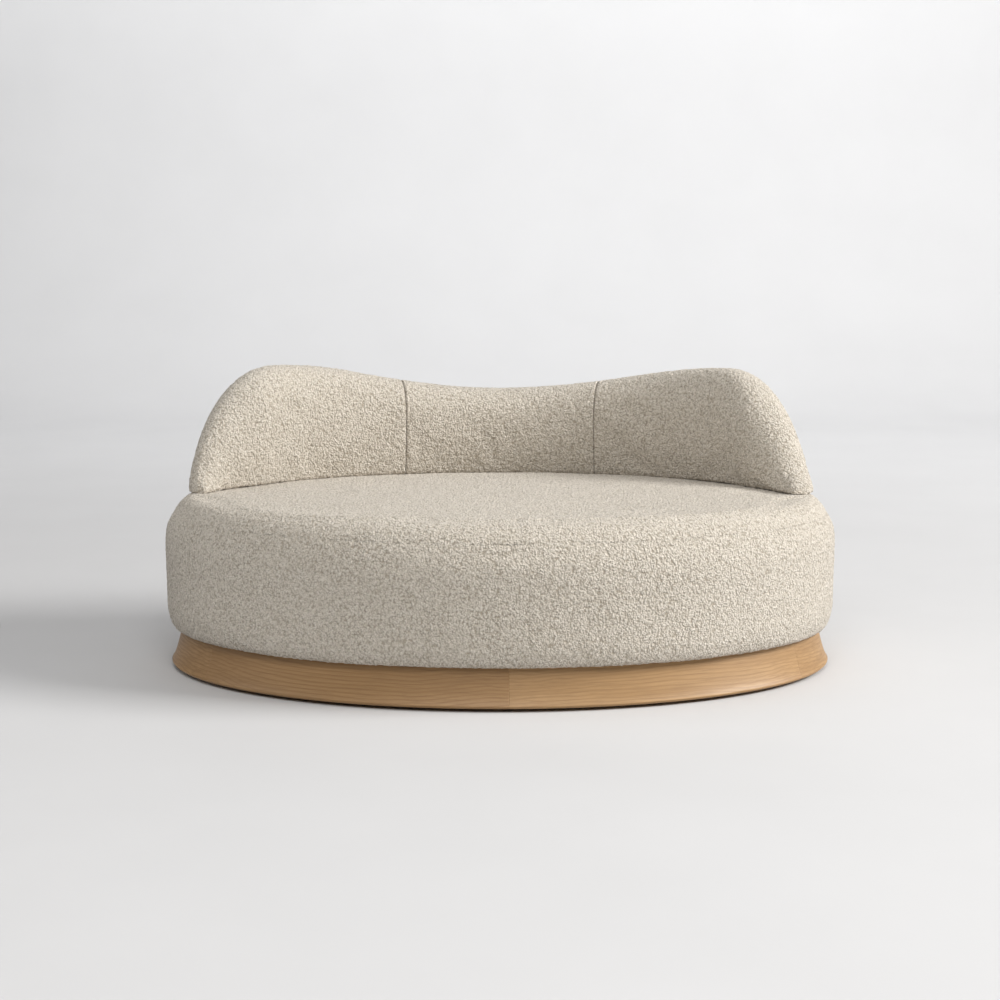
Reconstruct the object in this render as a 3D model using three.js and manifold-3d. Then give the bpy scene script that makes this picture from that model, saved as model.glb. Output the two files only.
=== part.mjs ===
// Oval upholstered sofa: a thick oval seat drum on a flared solid oak plinth, with a low wavy back that
// wraps the rear half of the seat and runs down to it at both arms.
// Millimetres, +Z up, front towards -Y, right towards +X, origin on the floor at the middle of the plan.
// Every horizontal outline is the same oval moved inwards by an "inset", so neighbours always fit.
import * as THREE from "three";
import { mergeVertices } from "three/addons/utils/BufferGeometryUtils.js";
import Module from "manifold-3d";

// ---- driving dimensions ----
const HALF_WIDTH = 840; // of the seat drum at its widest
const HALF_DEPTH = 575;
const GAP = 0.3; // between pieces that touch
const COVER = 4; // thickness of the boucle cover with its felt backing

// plinth
const GLIDE_HEIGHT = 4;
const GLIDE_RADIUS = 15;
const PLINTH_BOTTOM = 8; // the shadow gap under the oak
const FOOT_INSET = 9; // where the plinth flares out most
const FOOT_ROUND = 7;
const NECK_INSET = 36; // where the plinth is slimmest, under the seat
const COVE_POWER = 0.7; // how fast the flare turns in above the foot
const PLINTH_INNER_INSET = 62;
const STAVE_COUNT = 6;
const STAVE_TURN = -1.4; // degrees from the rear centre to the first joint
const TONGUE = { reach: 10, thickness: 8, bottom: 24, top: 80, clearance: 0.4 };
const BASE_RING = { thickness: 18, width: 75 };
const DUST_COVER = { thickness: 0.8, margin: 18 }; // margin: how far it stays inside the staves
const BRACE = { thickness: 24, height: 60, housing: 8, clearance: 0.3 };
const CROSS_BRACE_X = 300;

// seat drum
const DRUM_BOTTOM = 98;
const SEAT_TOP = 428;
const BOTTOM_ROLL = { reach: 26, rise: 62 };
const TOP_ROLL = { reach: 75, rise: 132 };
const SEAT_SEAM_DROP = 44; // the seam between the seat's top panel and its side band, below the top
const COVER_HEM_INSET = 70; // how far the band is turned in under the seat
const FRAME_INSET = 45; // outer edge of the seat frame, behind the border foam
const FRAME_RING_WIDTH = 120;
const PLY = 18;
const UPPER_RING_TOP = 280;
const UPRIGHT = { width: 60, depth: 45, inset: 100 };
const STRAP = { width: 60, thickness: 2, grip: 70, clearance: 5 }; // grip: how far it runs onto the ring
const LONG_STRAP_SPACING = 260;

// back
const BACK_INSET = 46;
const BACK_THICKNESS = 135;
const BACK_LEAN = 18.6 / 300; // inwards for each millimetre of height
const BACK_CROWN = 62; // radius of the rolled top edge
const CROWN_SHARE = 0.46; // the crown radius never takes more of the thickness than this
const BACK_DIP = 229; // height above the seat at the rear centre
const BACK_HUMP = 302;
const BACK_HUMP_ANGLE = 54.6; // degrees from the rear centre
const BACK_DROP = 220; // from the hump down to the start of the nose
const BACK_DROP_ANGLE = 85.8;
const BACK_DROP_POWER = 2.14;
const BACK_END = 94; // where the arm's nose meets the seat
const NOSE_ANGLE = 8.5; // over which the top rounds down to the tip
const NOSE_DEPTH = 54; // how far the tip is from the outer face
const TAPER_ANGLE = 24; // over which the inner face turns out towards the tip
const TAPER_POWER = 0.6;
const SEAM_ANGLE = 21; // the two sewn seams of the back
const BLOCK_ANGLES = { centre: 0, inner_right: 35, outer_right: 70, inner_left: -35, outer_left: -70 };
const BLOCK_SIZE = 60;
const BACK_FRAME_WIDTH = 64;
const BACK_FRAME_END = 78;
const BACK_FRAME_CLEARANCE = 0.5;
const CROWN_FOAM = 34; // foam over the top rail
const COVER_TIP_SHARE = 0.03; // of the nose, where the cover, its hollow and the foam each end
const HOLLOW_TIP_SHARE = 0.12;
const FOAM_TIP_SHARE = 0.2;
const TOP_RAIL_HEIGHT = 24;
const POST = { width: 46, depth: 50, housing: 8, clearance: 0.4 };

// fasteners
const BOLT = { radius: 4, head: 8, headHeight: 6, bore: 4.6, tip: 2.4 };
const BOLT_INSET = 112;

// how finely the curves are cut
const OVAL_STEPS = 48;
const BACK_STEP = 6; // degrees
const NOSE_SHARES = [0.75, 0.5, 0.3, FOAM_TIP_SHARE];
const END_MARGIN = 0.1; // degrees: nearer its end than this, a piece has no other station
const ROLL_STEPS = 4;
const ROUND_SIDES = 12;

// ---- worked out from the above ----
const PLINTH_TOP = DRUM_BOTTOM - GAP;
const LOWER_RING_BOTTOM = DRUM_BOTTOM + COVER + GAP;
const LOWER_RING_TOP = LOWER_RING_BOTTOM + PLY;
const UPPER_RING_BOTTOM = UPPER_RING_TOP - PLY;
const FRAME_RING_INNER = FRAME_INSET + FRAME_RING_WIDTH;
const SHORT_STRAP_BOTTOM = UPPER_RING_TOP + STRAP.thickness + 2 * GAP;
const SEAT_FOAM_BOTTOM = SHORT_STRAP_BOTTOM + STRAP.thickness + GAP;
const BACK_BOTTOM = SEAT_TOP + GAP;
const BACK_MIDDLE = BACK_INSET + BACK_THICKNESS / 2;
const BOTTOM_RAIL_TOP = BACK_BOTTOM + PLY;
const DEGREE = Math.PI / 180;
const END_TRIM = GAP / 2 / Math.min(HALF_WIDTH, HALF_DEPTH) / DEGREE; // half the gap between two ends

// ---- materials ----
const paint = (color, roughness, metalness = 0) => ({ color, roughness, metalness, flatShading: true });
const BOUCLE = paint("#d8cfc1", 0.95);
const OAK = paint("#b78c60", 0.6);
const BLACK_PLY = paint("#1d1b19", 0.8);
const BIRCH_PLY = paint("#d6b98a", 0.7);
const PINE = paint("#dcc190", 0.75);
const FOAM = paint("#e9dfb8", 0.95);
const WEBBING = paint("#3a3733", 0.9);
const STEEL = paint("#a9abad", 0.4, 0.9);
const NYLON = paint("#151515", 0.6);

const sofa = new THREE.Group();

function addPiece(group, name, geometry, finish) {
  const piece = new THREE.Mesh(geometry, new THREE.MeshStandardMaterial(finish));
  piece.name = name;
  group.add(piece);
  return piece;
}

// ---- the oval and solids built along it ----
// Angles run from the rear centre towards the right arm.
function ovalNormal(angle) {
  return new THREE.Vector2(HALF_DEPTH * Math.sin(angle), HALF_WIDTH * Math.cos(angle)).normalize();
}

function ovalPoint(angle, inset, z) {
  const out = ovalNormal(angle);
  const x = HALF_WIDTH * Math.sin(angle) - inset * out.x;
  const y = HALF_DEPTH * Math.cos(angle) - inset * out.y;
  return new THREE.Vector3(x, y, z);
}

// the turn about Z that brings a piece's own +Y to the oval's outward direction
function ovalTurn(angle) {
  const out = ovalNormal(angle);
  return Math.atan2(out.y, out.x) - Math.PI / 2;
}

// half the length of a straight line across the oval, along X or along Y
function halfSpan(axis, across, inset) {
  const other = axis === "x" ? "y" : "x";
  let low = 0;
  let high = Math.PI / 2;
  for (let i = 0; i < 40; i++) {
    const middle = (low + high) / 2;
    const beyond = ovalPoint(middle, inset, 0)[other] > Math.abs(across);
    if (beyond === (axis === "y")) high = middle;
    else low = middle;
  }
  return ovalPoint(low, inset, 0)[axis];
}

function spread(from, to, steps) {
  return Array.from({ length: steps + 1 }, (_, i) => from + ((to - from) * i) / steps);
}

function capFaces(outline) {
  const clockwise = THREE.ShapeUtils.isClockWise(outline);
  return THREE.ShapeUtils.triangulateShape(outline, []).map(([a, b, c]) =>
    THREE.ShapeUtils.isClockWise([outline[a], outline[b], outline[c]]) === clockwise ? [a, b, c] : [a, c, b],
  );
}

function signedVolume(positions, index) {
  const corner = (i) => new THREE.Vector3(...positions.slice(3 * i, 3 * i + 3));
  let volume = 0;
  for (let i = 0; i < index.length; i += 3) {
    volume += corner(index[i]).dot(corner(index[i + 1]).cross(corner(index[i + 2])));
  }
  return volume;
}

// Joins equal rings of points into a closed solid. With an outline the two end rings are capped,
// without one the last ring meets the first again.
function loft(rings, outline = null) {
  const count = rings[0].length;
  const bands = outline ? rings.length - 1 : rings.length;
  const index = [];
  for (let i = 0; i < bands; i++) {
    const near = i * count;
    const far = ((i + 1) % rings.length) * count;
    for (let j = 0; j < count; j++) {
      const next = (j + 1) % count;
      index.push(near + j, far + j, far + next, near + j, far + next, near + next);
    }
  }
  if (outline) {
    const last = (rings.length - 1) * count;
    for (const [a, b, c] of capFaces(outline)) {
      index.push(a, b, c);
      index.push(last + a, last + c, last + b);
    }
  }
  const positions = rings.flat().flatMap((point) => point.toArray());
  if (signedVolume(positions, index) < 0) index.reverse();
  const geometry = new THREE.BufferGeometry();
  geometry.setAttribute("position", new THREE.Float32BufferAttribute(positions, 3));
  geometry.setIndex(index);
  geometry.computeVertexNormals();
  return geometry;
}

// an upright section, a list of [inset, z], carried along the oval; angles in degrees
function sweep(section, angles) {
  const rings = angles.map((degrees) =>
    section(degrees).map(([inset, z]) => ovalPoint(degrees * DEGREE, inset, z)),
  );
  return loft(rings, section(angles[0]).map(([inset, z]) => new THREE.Vector2(inset, z)));
}

// the stations of everything that runs all the way round, so that neighbours share their facets
const roundAngles = spread(STAVE_TURN, STAVE_TURN + 360, OVAL_STEPS).slice(0, -1);

function sweepAll(section) {
  return loft(
    roundAngles.map((degrees) => section.map(([inset, z]) => ovalPoint(degrees * DEGREE, inset, z))),
  );
}

// level outlines, a list of [inset, z], joined one above the other and closed at both ends
function stack(levels) {
  const rings = levels.map(([inset, z]) =>
    roundAngles.map((degrees) => ovalPoint(degrees * DEGREE, inset, z)),
  );
  return loft(rings, rings[0].map((point) => new THREE.Vector2(point.x, point.y)));
}

function rectangle(inset, width, bottom, top) {
  return [
    [inset, bottom],
    [inset + width, bottom],
    [inset + width, top],
    [inset, top],
  ];
}

function block(width, depth, bottom, top) {
  return new THREE.BoxGeometry(width, depth, top - bottom).translate(0, 0, (bottom + top) / 2);
}

function rod(radius, bottom, top) {
  const outline = [
    new THREE.Vector2(0, bottom),
    new THREE.Vector2(radius, bottom),
    new THREE.Vector2(radius, top),
    new THREE.Vector2(0, top),
  ];
  return new THREE.LatheGeometry(outline, ROUND_SIDES).rotateX(Math.PI / 2);
}

function seatOnOval(geometry, degrees, inset) {
  const spot = ovalPoint(degrees * DEGREE, inset, 0);
  return geometry.rotateZ(ovalTurn(degrees * DEGREE)).translate(spot.x, spot.y, 0);
}

function putOnOval(piece, degrees, inset) {
  piece.position.copy(ovalPoint(degrees * DEGREE, inset, 0));
  piece.rotation.z = ovalTurn(degrees * DEGREE);
}

// ---- cuts and joins ----
const wasm = await Module();
wasm.setup();

function toSolid(geometry) {
  const bare = geometry.clone();
  bare.deleteAttribute("normal");
  bare.deleteAttribute("uv");
  const merged = mergeVertices(bare, 1e-4);
  const vertProperties = new Float32Array(merged.attributes.position.array);
  const triVerts = new Uint32Array(merged.index.array);
  return new wasm.Manifold(new wasm.Mesh({ numProp: 3, vertProperties, triVerts }));
}

function toGeometry(solid) {
  const mesh = solid.getMesh();
  const geometry = new THREE.BufferGeometry();
  geometry.setAttribute("position", new THREE.BufferAttribute(new Float32Array(mesh.vertProperties), 3));
  geometry.setIndex(new THREE.BufferAttribute(new Uint32Array(mesh.triVerts), 1));
  geometry.computeVertexNormals();
  return geometry;
}

function cut(geometry, tools) {
  return toGeometry(tools.reduce((solid, tool) => solid.subtract(toSolid(tool)), toSolid(geometry)));
}

function join(geometry, other) {
  return toGeometry(toSolid(geometry).add(toSolid(other)));
}

// ---- plinth: six solid oak staves, tongued and grooved end to end ----
const plinth = new THREE.Group();
sofa.add(plinth);

function staveSection() {
  const coveBottom = PLINTH_BOTTOM + FOOT_ROUND;
  const round = spread(Math.PI / 2, 0, ROLL_STEPS - 2).map((a) => [
    FOOT_INSET + FOOT_ROUND * (1 - Math.cos(a)),
    coveBottom - FOOT_ROUND * Math.sin(a),
  ]);
  const cove = spread(0, 1, ROLL_STEPS).slice(1).map((share) => [
    FOOT_INSET + (NECK_INSET - FOOT_INSET) * share ** (2 * COVE_POWER),
    coveBottom + (PLINTH_TOP - coveBottom) * share ** 2,
  ]);
  return [[PLINTH_INNER_INSET, PLINTH_BOTTOM], ...round, ...cove, [PLINTH_INNER_INSET, PLINTH_TOP]];
}

function tongue(degrees, grow) {
  const { reach, thickness, bottom, top } = TONGUE;
  const key = block(2 * (reach + grow), thickness + 2 * grow, bottom - grow, top + grow);
  return seatOnOval(key, degrees, (NECK_INSET + PLINTH_INNER_INSET) / 2);
}

const braceBottom = PLINTH_TOP - BRACE.height;
const braceMiddle = PLINTH_TOP - BRACE.height / 2;
const braceInset = PLINTH_INNER_INSET - BRACE.housing;
const longBraceHalf = halfSpan("x", BRACE.thickness / 2, braceInset);
const crossBraceHalf = halfSpan("y", CROSS_BRACE_X - BRACE.thickness / 2, braceInset);

function brace(half, grow) {
  return block(2 * (half + grow), BRACE.thickness + 2 * grow, braceBottom - grow, PLINTH_TOP + grow);
}

function crossBrace(x, grow) {
  return brace(crossBraceHalf, grow).rotateZ(Math.PI / 2).translate(x, 0, 0);
}

function addStaves() {
  const names = ["rear_right", "right", "front_right", "front_left", "left", "rear_left"];
  const turn = 360 / STAVE_COUNT;
  const housings = [
    brace(longBraceHalf, BRACE.clearance),
    crossBrace(-CROSS_BRACE_X, BRACE.clearance),
    crossBrace(CROSS_BRACE_X, BRACE.clearance),
  ];
  for (let i = 0; i < STAVE_COUNT; i++) {
    const from = STAVE_TURN + turn * i;
    const to = from + turn;
    const wood = sweep(staveSection, spread(from + END_TRIM, to - END_TRIM, OVAL_STEPS / STAVE_COUNT));
    const grooved = cut(wood, [tongue(from, TONGUE.clearance), ...housings]);
    addPiece(plinth, `plinth_stave_${names[i]}`, join(grooved, tongue(to, 0)), OAK);
  }
}

function addBraces() {
  const lap = GAP / 2;
  const bolts = [-1, 1].flatMap((sx) => [-1, 1].map((sy) => [sx, sy]));
  const boltY = halfSpan("y", CROSS_BRACE_X, BOLT_INSET);
  const crossTops = [-1, 1].map((side) =>
    block(BRACE.thickness + 2 * GAP, 2 * BRACE.thickness, braceMiddle - lap, PLINTH_TOP + 1)
      .translate(side * CROSS_BRACE_X, 0, 0),
  );
  addPiece(plinth, "plinth_brace_long", cut(brace(longBraceHalf, 0), crossTops), PINE);
  for (const [side, name] of [[-1, "left"], [1, "right"]]) {
    const x = side * CROSS_BRACE_X;
    const lapWidth = BRACE.thickness + 2 * GAP;
    const lapCut = block(2 * BRACE.thickness, lapWidth, braceBottom - 1, braceMiddle + lap);
    const bore = () => rod(BOLT.bore, braceBottom - 1, PLINTH_TOP + 1);
    const bores = [-1, 1].map((sy) => bore().translate(x, sy * boltY, 0));
    const wood = cut(crossBrace(x, 0), [lapCut.translate(x, 0, 0), ...bores]);
    addPiece(plinth, `plinth_brace_${name}`, wood, PINE);
  }
  for (const [sx, sy] of bolts) {
    const name = `plinth_bolt_${sy > 0 ? "rear" : "front"}_${sx > 0 ? "right" : "left"}`;
    const bolt = addPiece(plinth, name, boltShape(braceBottom - GAP, LOWER_RING_TOP - BOLT.tip), STEEL);
    bolt.position.set(sx * CROSS_BRACE_X, sy * boltY, 0);
  }
}

function boltShape(underHead, tip) {
  const outline = [
    new THREE.Vector2(0, underHead - BOLT.headHeight),
    new THREE.Vector2(BOLT.head, underHead - BOLT.headHeight),
    new THREE.Vector2(BOLT.head, underHead),
    new THREE.Vector2(BOLT.radius, underHead),
    new THREE.Vector2(BOLT.radius, tip),
    new THREE.Vector2(0, tip),
  ];
  return new THREE.LatheGeometry(outline, ROUND_SIDES).rotateX(Math.PI / 2);
}

function addPlinthBase() {
  const inset = PLINTH_INNER_INSET + GAP;
  const bottom = GLIDE_HEIGHT + GAP;
  const top = bottom + BASE_RING.thickness;
  addPiece(plinth, "plinth_base_ring", sweepAll(rectangle(inset, BASE_RING.width, bottom, top)), BLACK_PLY);
  const clothInset = PLINTH_INNER_INSET + DUST_COVER.margin;
  const cloth = [
    [clothInset, top + GAP],
    [clothInset, top + GAP + DUST_COVER.thickness],
  ];
  addPiece(plinth, "dust_cover", stack(cloth), WEBBING);
  const names = ["rear", "rear_right", "front_right", "front", "front_left", "rear_left"];
  names.forEach((name, i) => {
    const glide = addPiece(plinth, `glide_${name}`, rod(GLIDE_RADIUS, 0, GLIDE_HEIGHT), NYLON);
    putOnOval(glide, (360 / names.length) * i, inset + BASE_RING.width / 2);
  });
}

// ---- seat drum ----
const seat = new THREE.Group();
sofa.add(seat);

// the drum's rounded side, from its underside to its top, moved inwards by depth
function drumSide(depth) {
  const { reach: lowReach, rise: lowRise } = BOTTOM_ROLL;
  const { reach: highReach, rise: highRise } = TOP_ROLL;
  const low = spread(Math.PI / 2, 0, ROLL_STEPS - 1).map((a) => [
    lowReach - (lowReach - depth) * Math.cos(a),
    DRUM_BOTTOM + lowRise - (lowRise - depth) * Math.sin(a),
  ]);
  const high = spread(0, Math.PI / 2, ROLL_STEPS + 1).map((a) => [
    highReach - (highReach - depth) * Math.cos(a),
    SEAT_TOP - highRise + (highRise - depth) * Math.sin(a),
  ]);
  return [...low, ...high];
}

// where a side given as [inset, z] points, rising in z, crosses one height
function pointAtHeight(side, height) {
  const next = side.findIndex(([, z]) => z > height);
  const [[lowInset, lowZ], [highInset, highZ]] = [side[next - 1], side[next]];
  return [lowInset + ((highInset - lowInset) * (height - lowZ)) / (highZ - lowZ), height];
}

function supportBlocks(grow, bottom, top) {
  const size = BLOCK_SIZE + 2 * grow;
  return Object.values(BLOCK_ANGLES).map((degrees) =>
    seatOnOval(block(size, size, bottom, top), degrees, BACK_MIDDLE),
  );
}

// the shell that covers the drum, in two sewn panels: a domed top and a band round the side
function addSeatCovers() {
  const outer = drumSide(0);
  const inner = drumSide(COVER);
  const seam = SEAT_TOP - SEAT_SEAM_DROP;
  const topEdge = seam + GAP / 2;
  const bandEdge = seam - GAP / 2;
  const above = (side) => [pointAtHeight(side, topEdge), ...side.filter(([, z]) => z > topEdge)];
  const below = (side) => [...side.filter(([, z]) => z < bandEdge), pointAtHeight(side, bandEdge)];
  const pockets = supportBlocks(GAP, SEAT_FOAM_BOTTOM - 1, SEAT_TOP + 1);
  const top = stack([...above(inner).reverse(), ...above(outer)]);
  addPiece(seat, "seat_cover_top", cut(top, pockets), BOUCLE);

  const hem = [
    [COVER_HEM_INSET, DRUM_BOTTOM + COVER],
    [COVER_HEM_INSET, DRUM_BOTTOM],
  ];
  addPiece(seat, "seat_cover_band", sweepAll([...below(outer), ...below(inner).reverse(), ...hem]), BOUCLE);
}

function addSeatFoam() {
  const pockets = supportBlocks(GAP, SEAT_FOAM_BOTTOM - 1, SEAT_TOP + 1);
  const side = drumSide(COVER + GAP);
  const above = side.filter(([, z]) => z > SEAT_FOAM_BOTTOM);
  const pad = stack([pointAtHeight(side, SEAT_FOAM_BOTTOM), ...above]);
  addPiece(seat, "seat_foam", cut(pad, pockets), FOAM);

  const borderTop = SEAT_FOAM_BOTTOM - GAP;
  const below = side.filter(([, z]) => z < borderTop);
  const inside = FRAME_INSET - GAP;
  const section = [...below, pointAtHeight(side, borderTop), [inside, borderTop], [inside, below[0][1]]];
  addPiece(seat, "seat_border_foam", sweepAll(section), FOAM);
}

function addSeatFrame() {
  const boltY = halfSpan("y", CROSS_BRACE_X, BOLT_INSET);
  const plinthBores = [-1, 1].flatMap((sx) =>
    [-1, 1].map((sy) =>
      rod(BOLT.bore, LOWER_RING_BOTTOM - 1, LOWER_RING_TOP + 1).translate(sx * CROSS_BRACE_X, sy * boltY, 0),
    ),
  );
  const backBores = Object.values(BLOCK_ANGLES).map((degrees) =>
    seatOnOval(rod(BOLT.bore, UPPER_RING_BOTTOM - 1, UPPER_RING_TOP + 1), degrees, BACK_MIDDLE),
  );
  const lower = sweepAll(rectangle(FRAME_INSET, FRAME_RING_WIDTH, LOWER_RING_BOTTOM, LOWER_RING_TOP));
  const upper = sweepAll(rectangle(FRAME_INSET, FRAME_RING_WIDTH, UPPER_RING_BOTTOM, UPPER_RING_TOP));
  addPiece(seat, "seat_lower_ring", cut(lower, plinthBores), BIRCH_PLY);
  addPiece(seat, "seat_upper_ring", cut(upper, backBores), BIRCH_PLY);

  const names = ["rear_right", "right", "front_right", "front_left", "left", "rear_left"];
  names.forEach((name, i) => {
    const wood = block(UPRIGHT.width, UPRIGHT.depth, LOWER_RING_TOP + GAP, UPPER_RING_BOTTOM - GAP);
    const upright = addPiece(seat, `seat_upright_${name}`, wood, PINE);
    const turn = 360 / names.length;
    putOnOval(upright, turn * (i + 0.5), UPRIGHT.inset);
  });
}

// the straps lie between the blocks that carry the back
function addWebbing() {
  const inset = FRAME_RING_INNER - STRAP.grip;
  const longBottom = UPPER_RING_TOP + GAP;
  const innerBlock = ovalPoint(BLOCK_ANGLES.inner_right * DEGREE, BACK_MIDDLE, 0);
  const outerBlock = ovalPoint(BLOCK_ANGLES.outer_right * DEGREE, BACK_MIDDLE, 0);
  const beside = (BLOCK_SIZE * Math.SQRT2 + STRAP.width) / 2 + STRAP.clearance;
  const rearY = outerBlock.y - beside;
  const outerX = innerBlock.x + beside;
  const innerX = innerBlock.x / 2;
  [rearY - LONG_STRAP_SPACING, rearY].forEach((y, i) => {
    const half = halfSpan("x", Math.abs(y) + STRAP.width / 2, inset);
    const strap = block(2 * half, STRAP.width, longBottom, longBottom + STRAP.thickness);
    addPiece(seat, `webbing_long_${i + 1}`, strap, WEBBING).position.y = y;
  });
  [-outerX, -innerX, innerX, outerX].forEach((x, i) => {
    const half = halfSpan("y", Math.abs(x) + STRAP.width / 2, inset);
    const strap = block(STRAP.width, 2 * half, SHORT_STRAP_BOTTOM, SHORT_STRAP_BOTTOM + STRAP.thickness);
    addPiece(seat, `webbing_short_${i + 1}`, strap, WEBBING).position.x = x;
  });
}

// ---- back ----
const back = new THREE.Group();
sofa.add(back);

// 0 at the tip of an arm's nose, 1 where the nose begins
function noseShare(degrees) {
  return Math.min((BACK_END - Math.abs(degrees)) / NOSE_ANGLE, 1);
}

function noseRound(degrees) {
  return Math.sqrt(1 - (1 - noseShare(degrees)) ** 2);
}

function backTop(degrees) {
  const angle = Math.abs(degrees);
  if (angle < BACK_HUMP_ANGLE) {
    const wave = (1 - Math.cos((Math.PI * angle) / BACK_HUMP_ANGLE)) / 2;
    return SEAT_TOP + BACK_DIP + (BACK_HUMP - BACK_DIP) * wave;
  }
  const share = Math.min((angle - BACK_HUMP_ANGLE) / (BACK_DROP_ANGLE - BACK_HUMP_ANGLE), 1);
  return SEAT_TOP + (BACK_HUMP - BACK_DROP * share ** BACK_DROP_POWER) * noseRound(degrees);
}

// the insets of the back's two faces at the seat, which meet at the tip of a nose
function backFaces(degrees) {
  const tip = BACK_INSET + NOSE_DEPTH;
  const share = Math.min((BACK_END - Math.abs(degrees)) / TAPER_ANGLE, 1);
  const outer = tip - NOSE_DEPTH * noseRound(degrees);
  const inner = tip + (BACK_THICKNESS - NOSE_DEPTH) * share ** TAPER_POWER;
  return { middle: (outer + inner) / 2, width: inner - outer };
}

// Turns a point of the back's own section, measured from its leaning middle plane, into [inset, z].
function leaning(degrees) {
  const { middle } = backFaces(degrees);
  return ([across, z]) => [middle + across + BACK_LEAN * (z - SEAT_TOP), z];
}

// the back's outer shape moved inwards by depth, standing on bottom
function backSection(degrees, depth, bottom) {
  const { width } = backFaces(degrees);
  const half = width / 2 - depth;
  const crown = Math.min(BACK_CROWN, width * CROWN_SHARE) - depth;
  const top = backTop(degrees) - depth;
  const arch = Math.min((top - BACK_BOTTOM) * 0.8, BACK_CROWN - depth);
  const corner = (side) => (a) => [
    side * (half - crown + crown * Math.cos(a)),
    top - arch + arch * Math.sin(a),
  ];
  const outerCorner = spread(0, Math.PI / 2, ROLL_STEPS).map(corner(-1));
  const innerCorner = spread(Math.PI / 2, 0, ROLL_STEPS).map(corner(1));
  return [[-half, bottom], ...outerCorner, ...innerCorner, [half, bottom]].map(leaning(degrees));
}

// The stations of everything in the back, so that neighbours share their facets: even ones as far as
// the nose, then closer ones where it rounds off, and the piece's own two ends.
function backAngles(from, to) {
  const even = Math.floor((BACK_END - NOSE_ANGLE) / BACK_STEP);
  const shared = [...Array(even + 1).keys()].map((i) => i * BACK_STEP);
  for (const share of NOSE_SHARES) shared.push(noseAngle(share));
  const both = shared.flatMap((angle) => (angle === 0 ? [0] : [-angle, angle]));
  const inside = both.filter((angle) => angle > from + END_MARGIN && angle < to - END_MARGIN);
  return [from, ...inside.sort((a, b) => a - b), to];
}

function noseAngle(share) {
  return BACK_END - NOSE_ANGLE * share;
}

function addBackCovers() {
  const tip = noseAngle(COVER_TIP_SHARE);
  const hollowTip = noseAngle(HOLLOW_TIP_SHARE);
  const below = SEAT_TOP - COVER;
  const panel = (name, from, to, hollowFrom, hollowTo) => {
    const outer = sweep((angle) => backSection(angle, 0, BACK_BOTTOM), backAngles(from, to));
    const hollow = sweep((angle) => backSection(angle, COVER, below), backAngles(hollowFrom, hollowTo));
    addPiece(back, name, cut(outer, [hollow]), BOUCLE);
  };
  const seam = SEAM_ANGLE;
  const beyond = SEAM_ANGLE + BACK_STEP;
  const inside = SEAM_ANGLE - BACK_STEP;
  panel("back_cover_centre", -seam + END_TRIM, seam - END_TRIM, -beyond, beyond);
  panel("back_cover_right", seam + END_TRIM, tip, inside, hollowTip);
  panel("back_cover_left", -tip, -seam - END_TRIM, -hollowTip, -inside);
}

function railTop(degrees) {
  return backTop(degrees) - CROWN_FOAM;
}

function addBackFoam() {
  const depth = COVER + GAP;
  const tip = noseAngle(FOAM_TIP_SHARE);
  const outer = sweep((angle) => backSection(angle, depth, BACK_BOTTOM), backAngles(-tip, tip));
  const half = BACK_FRAME_WIDTH / 2 + BACK_FRAME_CLEARANCE;
  const end = BACK_FRAME_END + GAP;
  const hollow = (angle) =>
    rectangle(-half, 2 * half, SEAT_TOP - COVER, railTop(angle) + GAP).map(leaning(angle));
  addPiece(back, "back_foam", cut(outer, [sweep(hollow, backAngles(-end, end))]), FOAM);
}

function post(degrees, grow) {
  const halfAngle = ((POST.width / 2 + grow) / HALF_DEPTH / DEGREE) * 0.8;
  const half = POST.depth / 2 + grow;
  const section = (angle) => {
    const top = railTop(angle) - TOP_RAIL_HEIGHT + POST.housing - POST.clearance + grow;
    return rectangle(-half, 2 * half, BOTTOM_RAIL_TOP + GAP, top).map(leaning(angle));
  };
  return sweep(section, spread(degrees - halfAngle, degrees + halfAngle, 2));
}

function addBackFrame() {
  const half = BACK_FRAME_WIDTH / 2;
  const ends = backAngles(-BACK_FRAME_END, BACK_FRAME_END);
  const rail = (low, high) => (angle) =>
    rectangle(-half, 2 * half, low(angle), high(angle)).map(leaning(angle));
  const bottom = sweep(rail(() => BACK_BOTTOM, () => BOTTOM_RAIL_TOP), ends);
  const top = sweep(rail((angle) => railTop(angle) - TOP_RAIL_HEIGHT, railTop), ends);
  const spots = Object.entries(BLOCK_ANGLES);
  const railBores = spots.map(([, degrees]) =>
    seatOnOval(rod(BOLT.bore, BACK_BOTTOM - 1, BOTTOM_RAIL_TOP + 1), degrees, BACK_MIDDLE),
  );
  const housings = spots.map(([, degrees]) => post(degrees, POST.clearance));
  addPiece(back, "back_bottom_rail", cut(bottom, railBores), BIRCH_PLY);
  addPiece(back, "back_top_rail", cut(top, housings), BIRCH_PLY);
  for (const [name, degrees] of spots) {
    addPiece(back, `back_post_${name}`, post(degrees, 0), PINE);
    const wood = block(BLOCK_SIZE, BLOCK_SIZE, UPPER_RING_TOP + GAP, SEAT_TOP);
    const bore = rod(BOLT.bore, UPPER_RING_TOP - 1, SEAT_TOP + 1);
    putOnOval(addPiece(back, `back_block_${name}`, cut(wood, [bore]), PINE), degrees, BACK_MIDDLE);
    const bolt = boltShape(UPPER_RING_BOTTOM - GAP, BOTTOM_RAIL_TOP - BOLT.tip);
    putOnOval(addPiece(back, `back_bolt_${name}`, bolt, STEEL), degrees, BACK_MIDDLE);
  }
}

addStaves();
addBraces();
addPlinthBase();
addSeatFrame();
addWebbing();
addSeatCovers();
addSeatFoam();
addBackFrame();
addBackFoam();
addBackCovers();

export default sofa;
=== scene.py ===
"""Looks of the oval boucle sofa on its oak plinth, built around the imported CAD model.

Everything is in metres. Angles round the oval are in degrees, from the rear centre (0) towards the
right arm (90), and an inset is a distance measured inwards from the oval's outline.
"""

import math

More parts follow.
